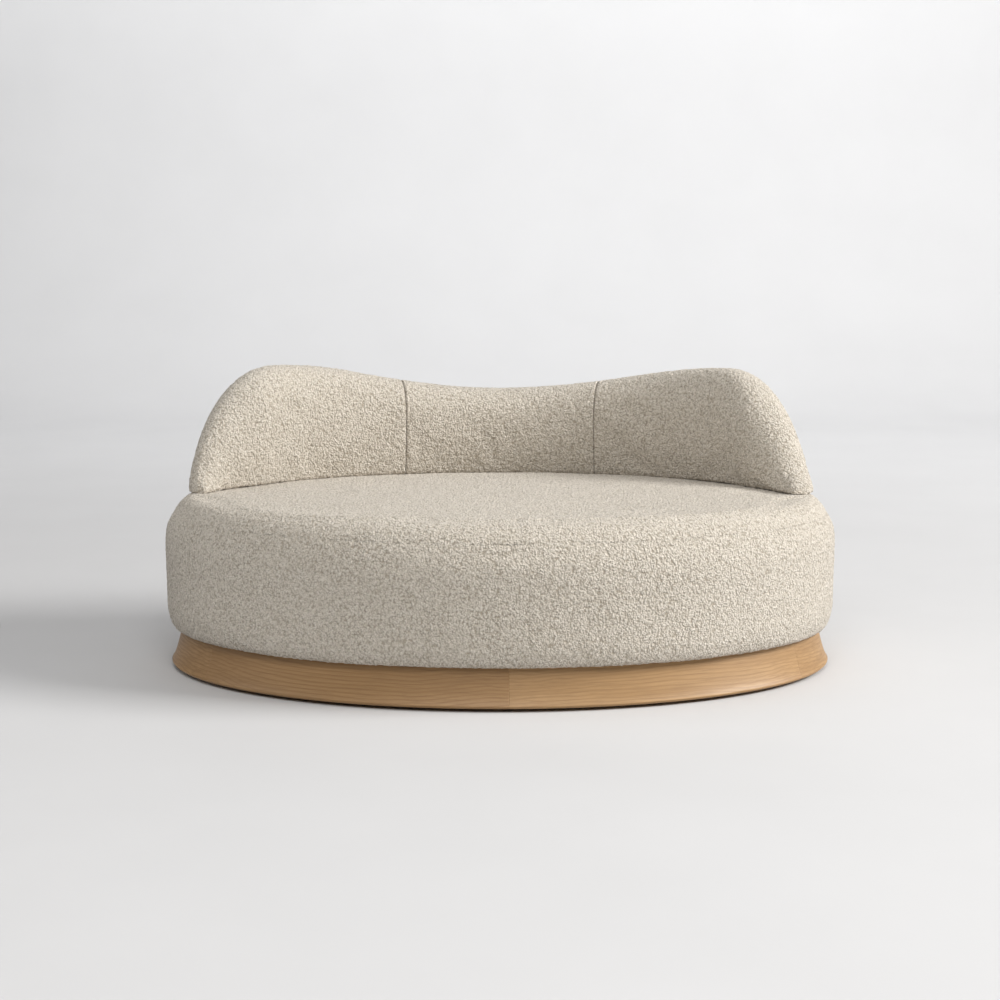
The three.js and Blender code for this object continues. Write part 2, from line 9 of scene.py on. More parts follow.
import bmesh
import bpy
import numpy as np
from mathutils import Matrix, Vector, noise


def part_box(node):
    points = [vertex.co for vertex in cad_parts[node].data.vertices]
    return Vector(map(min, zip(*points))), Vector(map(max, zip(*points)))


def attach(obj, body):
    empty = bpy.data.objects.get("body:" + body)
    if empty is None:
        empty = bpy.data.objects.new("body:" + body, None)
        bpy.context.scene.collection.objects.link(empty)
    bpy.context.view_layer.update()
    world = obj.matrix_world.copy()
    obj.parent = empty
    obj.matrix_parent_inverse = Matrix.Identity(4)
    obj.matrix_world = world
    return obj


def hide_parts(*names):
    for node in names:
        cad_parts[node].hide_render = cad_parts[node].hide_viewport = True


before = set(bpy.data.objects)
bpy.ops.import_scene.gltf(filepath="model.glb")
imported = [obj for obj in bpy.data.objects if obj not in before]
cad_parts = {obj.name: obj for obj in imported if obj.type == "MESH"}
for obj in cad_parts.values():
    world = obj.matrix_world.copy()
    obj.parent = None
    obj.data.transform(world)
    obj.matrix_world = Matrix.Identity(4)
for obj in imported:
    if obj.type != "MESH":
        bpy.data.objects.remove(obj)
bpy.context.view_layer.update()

# ---- sizes, from the CAD nodes ----
BAND_LOW, BAND_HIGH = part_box("seat_cover_band")
TOP_LOW, TOP_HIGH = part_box("seat_cover_top")
HALF_WIDTH = BAND_HIGH[0]
HALF_DEPTH = BAND_HIGH[1]
DRUM_BOTTOM = BAND_LOW[2]
SEAT_TOP = TOP_HIGH[2]
SEAM_Z = BAND_HIGH[2]
BACK_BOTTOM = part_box("back_cover_centre")[0][2]
PLINTH_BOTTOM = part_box("plinth_stave_front_left")[0][2]
PLINTH_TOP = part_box("plinth_stave_front_left")[1][2]

# ---- seat drum, repeated from the CAD source ----
BOTTOM_ROLL = {"reach": 0.026, "rise": 0.062}
TOP_ROLL = {"reach": 0.075, "rise": 0.132}
HEM_INSET = 0.070
COVER = 0.004
LINING_DEPTH = COVER - 0.0002  # a little thinner than the cloth, so that it stays off the foam
SEAT_CROWN = 0.007  # how high the padding of the seat's top stands in the middle

# ---- back ----
BACK_INSET = 0.046
BACK_THICKNESS = 0.135
BACK_LEAN = 18.6 / 300
BACK_CROWN = 0.066
ARCH_RISE = 0.085  # how far down the crown's rounding reaches
CROWN_SHARE = 0.49  # the crown's widest rounding, as a share of the back's width
FOOT_TUCK = {"outer": 0.004, "inner": 0.0045, "rise": 0.012}
BELLY = {"outer": 0.003, "inner": 0.008}
FOOT_SHARE = 0.05  # the foot's share of a walk over the section, and where the crown starts
FACE_SHARE = 0.34
BACK_DIP = 0.229
DROP_POWER = 2.14
DROP_ANGLE = 85.8
CAD_BACK_END = 94
NOSE_ANGLE = 8.5
NOSE_DEPTH = 0.054
SEAM_ANGLE = 21
FRAME_HALF = 0.0325  # half the hollow for the back's frame
FRAME_END = 78.3
CROWN_FOAM = 0.034
FOAM_DEPTH = 0.0085  # how deep the back's foam lies under its cover's surface
HOLLOW_TIP = 0.14  # the share of a nose whose lining stays closed
# The photographed sofa isn't quite symmetrical: these are what differs, as (left, right).
HUMP = (0.306, 0.298)
HUMP_ANGLE = (54.3, 54.9)
DROP = (0.206, 0.224)
BACK_END = (93, 95.5)
ARM_END = 0.045  # how high the drop still is where it meets the nose
ARM_EASE = 0.03  # over what height it eases into the nose
TAPER_ANGLE = (27, 24)
TAPER_POWER = (0.8, 0.58)
CAD_TAPER = {"angle": 24, "power": 0.6}  # the frame inside follows the even shape
TIP_GAP = 0.03  # how far a cover stops short of the very tip, where its section has no width
PANELS = {  # first and last angle, and whether each is a seam
    "left": (-BACK_END[0] + TIP_GAP, -SEAM_ANGLE, False, True),
    "centre": (-SEAM_ANGLE, SEAM_ANGLE, True, True),
    "right": (SEAM_ANGLE, BACK_END[1] - TIP_GAP, True, False),
}

# ---- seams ----
SEAM_DEPTH = {"seat": 0.0005, "back": 0.003}
SEAM_LAP = 0.0015  # how far the sewn edges of the seat's two panels lie over each other
SEAM_REACH = 0.003
SEAM_WOBBLE = 0.07  # how far the back's seams wander, in degrees
# width of the painted shade along the back's seams, which stands in for the shade in their grooves
SEAM_SHADE_WIDTH = 0.0022

# ---- boucle relief ----
NUB = 0.0085  # from one nub of the yarn to the next
NUB_HEIGHT = 0.0018
UNEVEN = 0.16  # length of the padding's slow waves
UNEVEN_HEIGHT = 0.0016

# ---- plinth ----
STAVES = {  # from the rear centre towards the right; each one's tone, darker above 0, partly the boards' own tone and partly painted light: lighter on the right, where the key light falls, and darker on the front left
    "rear_right": 0.05,
    "right": -0.2,
    "front_right": -0.3,
    "front_left": 0.35,
    "left": 0.15,
    "rear_left": -0.1,
}
STAVE_TURN = -1.4
STAVE_GAP = 0.00005  # half the glue line between two staves
FOOT_INSET = 0.009
FOOT_ROUND = 0.007
NECK_INSET = 0.036
COVE_POWER = 0.7
PLINTH_INNER_INSET = 0.062
STAVE_SPAN = 360 / len(STAVES)
STAVE_EASE = (0.0003, 0.0001)  # how far a stave's sharp ends are eased, at its end and beside it
STAVE_EASE_ANGLES = (0.1, 0.45)  # degrees from its end

# ---- how finely things are cut ----
SQUARE = 64  # cells along each side of the seat top's grid, four sides round the oval
SECTION_STEPS = 38  # cells over the back's section
STATION_STEP = 1.3  # degrees from one section of the back to the next
LINING_STEPS = 14
FINER = 4  # fine cells to a simulated one
SEAT_PRESSURE = 0.6
BACK_PRESSURE = 1.6
SHRINK = 0.0015  # how much smaller a cover is before it is blown up
MOST_SWELL = 0.006
MOST_SLIDE = 0.002


# ---- the oval ----
def oval(angle, inset):
    """Plan points at an angle and inset."""
    turn = np.radians(angle)
    normal = np.stack([HALF_DEPTH * np.sin(turn), HALF_WIDTH * np.cos(turn)], -1)
    normal = normal / np.linalg.norm(normal, axis=-1, keepdims=True)
    outline = np.stack([HALF_WIDTH * np.sin(turn), HALF_DEPTH * np.cos(turn)], -1)
    return outline - normal * np.asarray(inset)[..., None]


def on_oval(angle, inset, z):
    """Points in space, from arrays that broadcast together."""
    angle, inset, z = np.broadcast_arrays(angle, inset, z)
    return np.concatenate([oval(angle, inset), z[..., None]], -1)


# ---- grids of points ----
def refine(values, times, axis, closed=False):
    """Catmull-Rom points between neighbours along one axis."""
    rows = np.moveaxis(values, axis, 0)
    if closed:
        before, here, after, beyond = (np.roll(rows, k, 0) for k in (1, 0, -1, -2))
    else:
        ends = [2 * rows[:1] - rows[1:2], rows, 2 * rows[-1:] - rows[-2:-1]]
        rows = np.concatenate(ends)
        before, here, after, beyond = rows[:-3], rows[1:-2], rows[2:-1], rows[3:]
    t = (np.arange(times) / times).reshape((1, times) + (1,) * (rows.ndim - 1))
    a, b, c, d = (part[:, None] for part in (before, here, after, beyond))
    curve = b + t / 2 * (c - a + t * (2 * a - 5 * b + 4 * c - d + t * (3 * (b - c) + d - a)))
    fine = curve.reshape((-1,) + rows.shape[1:])
    if not closed:
        fine = np.concatenate([fine, after[-1:]])
    return np.moveaxis(fine, 0, axis)


def refine_evenly(values, times):
    """Straight steps between neighbours of a list."""
    count = (len(values) - 1) * times + 1
    return np.interp(np.arange(count) / times, np.arange(len(values)), values)


def grid_faces(index, closed=False):
    """Quads of a grid of vertex numbers; closed joins its last column to its first."""
    if closed:
        index = np.concatenate([index, index[:, :1]], 1)
    corners = [index[:-1, :-1], index[:-1, 1:], index[1:, 1:], index[1:, :-1]]
    return np.stack(corners, -1).reshape(-1, 4).tolist()


def strip_faces(one, other):
    """Triangles between two rows of vertex numbers of any two lengths."""
    faces = []
    i = j = 0
    while i < len(one) - 1 or j < len(other) - 1:
        if (i + 1) / (len(one) - 1) <= (j + 1) / (len(other) - 1) and i < len(one) - 1:
            faces.append([one[i], one[i + 1], other[j]])
            i += 1
        else:
            faces.append([one[i], other[j + 1], other[j]])
            j += 1
    return faces


def add_mesh(name, points, faces):
    """A smooth shaded object in the scene."""
    mesh = bpy.data.meshes.new(name)
    mesh.from_pydata(np.asarray(points).reshape(-1, 3).tolist(), [], faces)
    mesh.validate()
    mesh.polygons.foreach_set("use_smooth", [True] * len(mesh.polygons))
    piece = bpy.data.objects.new(name, mesh)
    bpy.context.scene.collection.objects.link(piece)
    return piece


def turn_outwards(piece):
    """Makes the normals of a closed mesh consistent and facing outwards."""
    shell = bmesh.new()
    shell.from_mesh(piece.data)
    bmesh.ops.recalc_face_normals(shell, faces=shell.faces)
    shell.to_mesh(piece.data)
    shell.free()


def read_points(mesh):
    """The places of a mesh's vertices."""
    points = np.empty(len(mesh.vertices) * 3)
    mesh.vertices.foreach_get("co", points)
    return points.reshape(-1, 3)


def read_normals(mesh):
    """The normals of a mesh's vertices."""
    normals = np.empty(len(mesh.vertices) * 3)
    mesh.vertices.foreach_get("normal", normals)
    return normals.reshape(-1, 3)


# ---- cloth ----
def swell(name, points, faces, pinned, pressure):
    """Blows a cover up with a cloth simulation, held at its pinned points, and returns how far each
    point moves. The foam keeps it from going in, and its weave from going far."""
    cover = add_mesh(name, points, faces)
    group = cover.vertex_groups.new(name="held")
    group.add(np.flatnonzero(pinned).tolist(), 1.0, "REPLACE")
    cloth = cover.modifiers.new("Cloth", "CLOTH")
    settings = cloth.settings
    settings.vertex_group_mass = "held"
    settings.use_pressure = True
    settings.uniform_pressure_force = pressure
    settings.effector_weights.gravity = 0
    settings.quality = 5
    settings.mass = 0.4
    settings.tension_stiffness = 25
    settings.compression_stiffness = 25
    settings.shear_stiffness = 10
    settings.bending_stiffness = 2
    cloth.collision_settings.use_collision = False
    scene = bpy.context.scene
    for step in range(1, 21):
        scene.frame_set(step)
    moved = cover.evaluated_get(bpy.context.evaluated_depsgraph_get())
    shift = read_points(moved.data) - points
    normals = read_normals(cover.data)
    scene.frame_set(1)
    bpy.data.objects.remove(cover)
    outwards = (shift * normals).sum(axis=1, keepdims=True)
    sideways = shift - outwards * normals
    outwards = np.clip(outwards, 0, MOST_SWELL)
    length = np.linalg.norm(sideways, axis=1, keepdims=True)
    sideways *= np.minimum(1, MOST_SLIDE / np.maximum(length, 1e-9))
    return sideways + outwards * normals


# ---- boucle relief ----
def rough_up(piece, count):
    """Raises the nubs of the yarn on the first count points, and the padding's slow waves."""
    mesh = piece.data
    points = read_points(mesh)
    normals = read_normals(mesh)
    height = np.zeros(len(points))
    for i in range(count):
        spot = Vector(points[i])
        nub = noise.noise(spot / NUB) + 0.6 * noise.noise(spot / (NUB * 0.55))
        wave = noise.noise(spot / UNEVEN)
        height[i] = NUB_HEIGHT * nub + UNEVEN_HEIGHT * wave
    points += normals * height[:, None]
    mesh.vertices.foreach_set("co", points.ravel())
    mesh.update()


# ---- seat drum ----
def seat_outline(depth=0.0):
    """The drum's profile from the hem under it to the flat of the top, as dense [inset, z] points."""
    quarter = np.radians(np.linspace(0, 90, 40))
    reach, rise = BOTTOM_ROLL["reach"], BOTTOM_ROLL["rise"]
    low_roll = [reach * (1 - np.sin(quarter)), DRUM_BOTTOM + rise * (1 - np.cos(quarter))]
    reach, rise = TOP_ROLL["reach"], TOP_ROLL["rise"]
    high_roll = [reach * (1 - np.cos(quarter)), SEAT_TOP - rise * (1 - np.sin(quarter))]
    hem = [[HEM_INSET, DRUM_BOTTOM]]
    outline = np.concatenate([hem, np.stack(low_roll, -1), np.stack(high_roll, -1)])
    along = np.gradient(outline, axis=0)
    inward = np.stack([along[:, 1], -along[:, 0]], -1)
    inward /= np.linalg.norm(inward, axis=1, keepdims=True)
    return outline + inward * depth


class Profile:
    """A profile that is read by its distance from the seam, upwards positive."""

    def __init__(self, outline):
        self.outline = outline
        steps = np.linalg.norm(np.diff(outline, axis=0), axis=1)
        distance = np.concatenate([[0], np.cumsum(steps)])
        off_seam = np.abs(outline[:, 1] - SEAM_Z) + (outline[:, 0] > 0.05)  # not at the hem
        self.distance = distance - distance[np.argmin(off_seam)]

    def at(self, distance):
        """Inset and z at a distance from the seam."""
        inset = np.interp(distance, self.distance, self.outline[:, 0])
        return inset, np.interp(distance, self.distance, self.outline[:, 1])


def square_walk(cells):
    """Cells of a square's edge in order, from its rear middle towards +X."""
    half = cells // 2
    rear = [(i, cells) for i in range(half, cells)]
    right = [(cells, j) for j in range(cells, 0, -1)]
    front = [(i, 0) for i in range(cells, 0, -1)]
    left = [(0, j) for j in range(cells)]
    return rear + right + front + left + [(i, cells) for i in range(half)]


def disc_grid(cells):
    """A round grid without a pole: angle and radius (0 to 1) of each point of a square grid."""
    u, v = np.meshgrid(np.linspace(-1, 1, cells + 1), np.linspace(-1, 1, cells + 1), indexing="ij")
    x = u * np.sqrt(1 - v**2 / 2)
    y = v * np.sqrt(1 - u**2 / 2)
    return np.degrees(np.arctan2(x, y)), np.hypot(x, y)


def seat_levels(profile):
    """Distances from the seam, closer together beside it: the band's, downwards, and the top's."""
    beside = [0, 0.004, 0.011, 0.022]
    evenly_from = 0.038
    band = np.linspace(-evenly_from, profile.distance[0], 19)
    top = np.linspace(evenly_from, profile.distance[-1], 4)
    return -np.append(beside, -band), np.append(beside, top)


def seat_points(profile, levels, cells, crown):
    """The rings of a drum piece at some levels, and the grid of its top, which crowns by a height."""
    angles, radii = disc_grid(cells)
    walk = square_walk(cells)
    stations = np.array([angles[i, j] for i, j in walk])
    inset, z = profile.at(levels)
    rings = on_oval(stations[None, :], inset[:, None], z[:, None])
    rim = oval(angles, profile.outline[-1, 0] * np.ones_like(angles))
    height = profile.outline[-1, 1] + crown * (1 - radii**2) ** 2
    flat = np.concatenate([rim * radii[..., None], height[..., None]], -1)
    return rings, flat, walk


def disc_index(cells, walk, rim_index, first):
    """Vertex numbers of the flat's grid, which shares its rim with the last ring."""
    index = np.full((cells + 1, cells + 1), -1)
    for (i, j), number in zip(walk, rim_index):
        index[i, j] = number
    inside = index < 0
    index[inside] = first + np.arange(inside.sum())
    return index, inside


def under_back(points):
    """Which points lie below the back, where nothing may rise."""
    x, y, z = np.moveaxis(points, -1, 0)
    angle = np.degrees(np.arctan2(x / HALF_WIDTH, y / HALF_DEPTH))
    inset = 0.19
    ring = np.hypot(x / (HALF_WIDTH - inset), y / (HALF_DEPTH - inset))
    last_angle = 97
    return (np.abs(angle) < last_angle) & (ring > 1) & (z > SEAT_TOP - 0.02)


def simulate_seat():
    """Swells the top and the band together, held at the hem and under the back."""
    profile = Profile(seat_outline(SHRINK))
    band, top = seat_levels(profile)
    levels = np.concatenate([band[::-1], top[1:]])
    rings, flat, walk = seat_points(profile, levels, SQUARE, SEAT_CROWN)
    index = np.arange(rings.shape[0] * rings.shape[1]).reshape(rings.shape[:2])
    disc, inside = disc_index(SQUARE, walk, index[-1], index.size)
    points = np.concatenate([rings.reshape(-1, 3), flat[inside]])
    faces = grid_faces(index, closed=True) + grid_faces(disc)
    faces = [face[::-1] for face in faces]  # so that the pressure pushes outwards
    seam_row = len(band) - 1
    held = under_back(points)
    held[index[0]] = True
    held[index[1]] = True
    shift = swell("seat_swell", points, faces, held, SEAT_PRESSURE)
    ring_shift = shift[: index.size].reshape(rings.shape)
    flat_shift = np.zeros_like(flat)
    flat_shift[inside] = shift[index.size :]
    for (i, j), value in zip(walk, ring_shift[-1]):
        flat_shift[i, j] = value
    return ring_shift, flat_shift, seam_row, band, top, profile


def add_seat():
    """The seat's two sewn covers, as closed skins: the side band and the top panel."""
    ring_shift, flat_shift, seam_row, band, top, profile = simulate_seat()
    cells = SQUARE * FINER
    inner_profile = Profile(seat_outline(LINING_DEPTH))

    def fine_rings(levels, shift):
        """Fine rings and the fine top, with the simulated shift of the rings on them."""
        fine_levels = refine_evenly(levels, FINER)
        rings, flat, walk = seat_points(profile, fine_levels, cells, SEAT_CROWN)
        moved = refine(refine(shift, FINER, 0), FINER, 1, closed=True)
        return fine_levels, rings + moved, flat, walk

    def sink_seam(levels, rings):
        """The stitched edge is drawn in towards the middle."""
        pull = SEAM_DEPTH["seat"] * np.exp(-((levels / SEAM_REACH) ** 2))
        flat_way = -rings * [1, 1, 0]
        flat_way /= np.linalg.norm(flat_way, axis=-1, keepdims=True)
        return rings + flat_way * pull[:, None, None]

    # the band: outside downwards, then its lining back up
    levels, rings, _, _ = fine_rings(band, ring_shift[seam_row::-1])
    rings = sink_seam(levels, rings)
    rings[0, :, 2] += SEAM_LAP
    back_up = np.linspace(band[-1] + 0.002, -0.004, 9)
    inside_rings, _, _ = seat_points(inner_profile, back_up, cells, 0.0)
    skin = np.concatenate([rings, inside_rings])
    index = np.arange(skin.shape[0] * skin.shape[1]).reshape(skin.shape[:2])
    index = np.concatenate([index, index[:1]])
    piece = add_mesh("seat_cover_band_fabric", skin, grid_faces(index, closed=True))
    finish_cover(piece, rings.shape[0] * rings.shape[1], BOUCLE, "seat_cover_band")

    # the top: outside upwards and over the flat, then its lining
    levels, rings, flat, walk = fine_rings(top, ring_shift[seam_row:])
    rings = sink_seam(levels, rings)
    rings[0, :, 2] -= SEAM_LAP
    flat = flat + refine(refine(flat_shift, FINER, 0), FINER, 1)
    lower, _, _ = seat_points(inner_profile, np.array([0.004, 0.03, top[-1]]), cells, 0.0)
    index = np.arange(rings.shape[0] * rings.shape[1]).reshape(rings.shape[:2])
    disc, inside = disc_index(cells, walk, index[-1], index.size)
    outside = index.size + int(inside.sum())
    below = outside + np.arange(lower.shape[0] * lower.shape[1]).reshape(lower.shape[:2])
    centre = outside + below.size
    middle = [[0, 0, SEAT_TOP - COVER]]
    points = [rings.reshape(-1, 3), flat[inside], lower.reshape(-1, 3), middle]
    edge = np.append(below[-1], below[-1, 0])
    faces = grid_faces(index, closed=True) + grid_faces(disc)
    faces += grid_faces(np.concatenate([index[:1], below]), closed=True)
    faces += [[a, b, centre] for a, b in zip(edge[:-1].tolist(), edge[1:].tolist())]
    piece = add_mesh("seat_cover_top_fabric", np.concatenate(points), faces)
    finish_cover(piece, outside, BOUCLE, "seat_cover_top")


def finish_cover(piece, count, material, node):
    """Gives a cover its nubs, on its first count points, and its cloth."""
    turn_outwards(piece)
    rough_up(piece, count)
    piece.data.materials.append(material)
    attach(piece, "root")
    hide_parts(node)


# ---- back ----
def sided(pair, angle):
    """The left value on the left arm, the right one on the right, easing over across the middle."""
    across = 40  # degrees
    share = np.clip(angle / across + 0.5, 0, 1)
    ease = share * share * (3 - 2 * share)
    return pair[0] + (pair[1] - pair[0]) * ease


def from_tip(angle):
    """Degrees left to the tip of the arm's nose."""
    return np.maximum(sided(BACK_END, angle) - np.abs(angle), 0)


def nose_share(angle):
    """0 at a nose's tip and 1 where the nose begins."""
    return np.clip(from_tip(angle) / NOSE_ANGLE, 0, 1)


def nose_round(angle):
    """The quarter circle that a nose closes by."""
    return np.sqrt(1 - (1 - nose_share(angle)) ** 2)


def back_height(angle):
    """The top of the back above the seat: a dip, two humps, and a drop to each arm's nose."""
    hump, hump_angle = sided(HUMP, angle), sided(HUMP_ANGLE, angle)
    turn = np.abs(angle)
    wave = (1 - np.cos(np.pi * np.minimum(turn / hump_angle, 1))) / 2
    share = np.maximum(turn - hump_angle, 0) / (DROP_ANGLE - hump_angle)
    rear = BACK_DIP + (hump - BACK_DIP) * wave
    fall = hump - sided(DROP, angle) * share**DROP_POWER
    fall = (fall + ARM_END + np.hypot(fall - ARM_END, ARM_EASE * np.minimum(share, 1))) / 2
    return np.where(turn < hump_angle, rear, fall * nose_round(angle))


def back_faces(angle):
    """The middle and the width between the two faces at the seat, which meet at a nose's tip."""
    tip = BACK_INSET + NOSE_DEPTH
    share = np.minimum(from_tip(angle) / sided(TAPER_ANGLE, angle), 1)
    outer = tip - NOSE_DEPTH * nose_round(angle)
    inner = tip + (BACK_THICKNESS - NOSE_DEPTH) * share ** sided(TAPER_POWER, angle)
    return (outer + inner) / 2, inner - outer


def back_section(angle, along, depth=0.0):
    """Inset and z of the back's section, moved in by depth. along is 0 at the outer foot, 0.5 on the
    crown and 1 at the inner foot."""
    middle, width = back_faces(angle)
    half = np.maximum(width / 2 - depth, 0.0005)
    height = np.maximum(back_height(angle) - depth, 0.001)
    reach = np.minimum(np.minimum(BACK_CROWN, width * CROWN_SHARE) - depth, half * 0.98)
    reach = np.maximum(reach, half * 0.4)
    arch = np.minimum(height * 0.85, ARCH_RISE - depth)
    rise = np.minimum(FOOT_TUCK["rise"], (height - arch) * 0.6)
    inner = along > 0.5
    mirrored = np.where(inner, 1 - along, along)
    foot = np.clip(mirrored / FOOT_SHARE, 0, 1) * np.pi / 2
    face = np.clip((mirrored - FOOT_SHARE) / (FACE_SHARE - FOOT_SHARE), 0, 1)
    over = np.clip((mirrored - FACE_SHARE) / (0.5 - FACE_SHARE), 0, 1) * np.pi / 2
    z = rise * (1 - np.cos(foot)) + (height - arch - rise) * face + arch * np.sin(over)
    tuck = np.where(inner, FOOT_TUCK["inner"], FOOT_TUCK["outer"]) * np.minimum(width / 0.08, 1)
    belly = np.where(inner, BELLY["inner"], BELLY["outer"]) * np.minimum(width / 0.12, 1)
    bulge = belly * np.sin(np.pi * np.clip(mirrored / 0.42, 0, 1)) * np.minimum(height / 0.25, 1)
    across = half - reach + reach * np.cos(over) - tuck * (1 - np.sin(foot)) + bulge
    across = np.where(inner, across, -across)
    return middle + across + BACK_LEAN * z, BACK_BOTTOM + z


def spaced(start, end, step, from_seam, to_seam):
    """Stations from start to end, closer together beside a seam and towards an arm's tip."""
    close = 3  # degrees
    beside_seam = np.array([0, 0.3, 0.9, 1.7])
    beside_tip = close * (1 - np.cos(np.linspace(0, np.pi / 2, 6)))[:-1]
    count = int(round((end - start - 2 * close) / step))
    middle = np.linspace(start + close, end - close, count + 1)
    first = start + (beside_seam if from_seam else beside_tip)
    last = end - (beside_seam if to_seam else beside_tip)
    return np.concatenate([first, middle, last[::-1]])


def lining(stations):
    """The inside of a cover, from the inner foot over to the outer one. It closes before the tip."""
    along = np.linspace(1, 0, LINING_STEPS)[None, :]
    inset, z = back_section(stations[:, None], along, LINING_DEPTH)
    open_share = np.clip((nose_share(stations) - HOLLOW_TIP) * 8, 0, 1)[:, None]
    squeeze = np.clip(nose_share(stations)[:, None] * 4, 0.35, 1)
    middle = inset.mean(axis=1, keepdims=True)
    inset = middle + (inset - middle) * squeeze
    return on_oval(stations[:, None], inset, BACK_BOTTOM + (z - BACK_BOTTOM) * open_share)


def tube(name, outside, inside):
    """A closed skin along the oval from rows of outside points and rows of lining points."""
    rows = np.concatenate([outside, inside], 1)
    index = np.arange(rows.shape[0] * rows.shape[1]).reshape(rows.shape[:2])
    faces = grid_faces(index, closed=True)
    count = outside.shape[1]
    for row in (index[0], index[-1]):
        faces += strip_faces(row[:count].tolist(), row[count:][::-1].tolist())
    # the points of the outside come first, so that the relief is put on those alone
    order = np.concatenate([index[:, :count].ravel(), index[:, count:].ravel()])
    place = np.empty_like(order)
    place[order] = np.arange(order.size)
    points = rows.reshape(-1, 3)[order]
    return add_mesh(name, points, [[int(place[i]) for i in face] for face in faces])


def simulate_back():
    """Swells the three panels as one skin that is held at its seams and feet."""
    parts = {name: spaced(a, b, STATION_STEP, c, d) for name, (a, b, c, d) in PANELS.items()}
    stations = np.concatenate([parts["left"], parts["centre"][1:], parts["right"][1:]])
    along = np.linspace(0, 1, SECTION_STEPS + 1)
    inset, z = back_section(stations[:, None], along[None, :], SHRINK)
    points = on_oval(stations[:, None], inset, z)
    index = np.arange(inset.size).reshape(inset.shape)
    held = np.zeros(inset.shape, bool)
    held[:, [0, 1, -2, -1]] = True
    held[[0, 1, -2, -1]] = True
    for seam in (len(parts["left"]) - 1, len(parts["left"]) + len(parts["centre"]) - 2):
        held[seam] = True
    faces = grid_faces(index)
    shift = swell("back_swell", points.reshape(-1, 3), faces, held.ravel(), BACK_PRESSURE)
    shift = shift.reshape(points.shape)
    first = 0
    shifts = {}
    for name, own in parts.items():
        shifts[name] = (own, shift[first : first + len(own)])
        first += len(own) - 1
    return shifts


def add_back_panel(name, stations, shift):
    """One cover of the back, drawn in along its seams, which wander a little."""
    fine = refine_evenly(stations, FINER)
    along = np.linspace(0, 1, SECTION_STEPS * FINER + 1)
    beside = np.minimum(np.abs(fine - SEAM_ANGLE), np.abs(fine + SEAM_ANGLE))
    wobble = np.array([noise.noise(Vector((t * 9, 0.5, 0.5))) for t in along])
    near = np.exp(-((beside / 1.5) ** 2))[:, None]
    turned = fine[:, None] + SEAM_WOBBLE * near * wobble[None, :]
    inset, z = back_section(turned, along[None, :], SHRINK)
    from_seam = oval(fine, inset[:, 0]) - oval(fine - beside, inset[:, 0])
    metres = np.linalg.norm(from_seam, axis=1)
    pull = SEAM_DEPTH["back"] * np.exp(-((metres / SEAM_REACH) ** 2))[:, None]
    middle = (inset[:, :1] + inset[:, -1:]) / 2
    inset = inset + np.clip((middle - inset) / 0.06, -1, 1) * pull
    z = z - pull * np.sin(np.pi * along)[None, :]
    outside = on_oval(turned, inset, z) + refine(refine(shift, FINER, 0), FINER, 1)
    piece = tube(f"back_cover_{name}_fabric", outside, lining(fine))
    count = outside.shape[0] * outside.shape[1]
    finish_cover(piece, count, BOUCLE_SEAM_SHADED, f"back_cover_{name}")


def add_back_foam():
    """The foam under the three panels, with the hollow for the back's frame."""
    stations = np.linspace(-BACK_END[0] + 2, BACK_END[1] - 2, 120)
    along = np.linspace(0, 1, 31)
    inset, z = back_section(stations[:, None], along[None, :], FOAM_DEPTH)
    outside = on_oval(stations[:, None], inset, z)
    side = np.array([1, 1, 0.5, 0, -0.5, -1, -1]) * FRAME_HALF
    up = np.array([0, 1, 1, 1, 1, 1, 0])
    stations = stations[:, None]
    share = np.clip((FRAME_END - np.abs(stations)) / 0.4, 0, 1)
    rise = np.maximum(back_height(stations) - CROWN_FOAM, 0.001) * share * up
    taper = np.clip((CAD_BACK_END - np.abs(stations)) / CAD_TAPER["angle"], 0, 1)
    taper = taper ** CAD_TAPER["power"]
    inner = BACK_INSET + NOSE_DEPTH + (BACK_THICKNESS - NOSE_DEPTH) * taper
    middle = (BACK_INSET + inner) / 2
    narrow = np.where(share > 0, 1, 0.3)
    inset = middle + side * narrow + BACK_LEAN * rise
    inside = on_oval(stations, inset, BACK_BOTTOM + rise)
    piece = tube("back_foam_pad", outside, inside)
    turn_outwards(piece)
    piece.data.materials.append(FOAM)
    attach(piece, "root")
    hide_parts("back_foam")


# ---- oak plinth ----
def stave_outline():
    """The stave's section as [inset, z], from its inner foot outwards and up the cove."""
    quarter = np.radians(np.linspace(0, 90, 7))
    foot_inset = FOOT_INSET + FOOT_ROUND * (1 - np.sin(quarter))
    foot_z = PLINTH_BOTTOM + FOOT_ROUND * (1 - np.cos(quarter))
    share = np.linspace(0, 1, 25)[1:] ** 1.3  # closer together low down, where the cove bends more
    low = PLINTH_BOTTOM + FOOT_ROUND
    cove_inset = FOOT_INSET + (NECK_INSET - FOOT_INSET) * share**COVE_POWER
    cove_z = low + (PLINTH_TOP - low) * share
    foot = np.stack([foot_inset, foot_z], -1)
    cove = np.stack([cove_inset, cove_z], -1)
    inner_low = [[PLINTH_INNER_INSET, PLINTH_BOTTOM]]
    inner_high = [[PLINTH_INNER_INSET, PLINTH_TOP]]
    return np.concatenate([inner_low, foot, cove, inner_high])


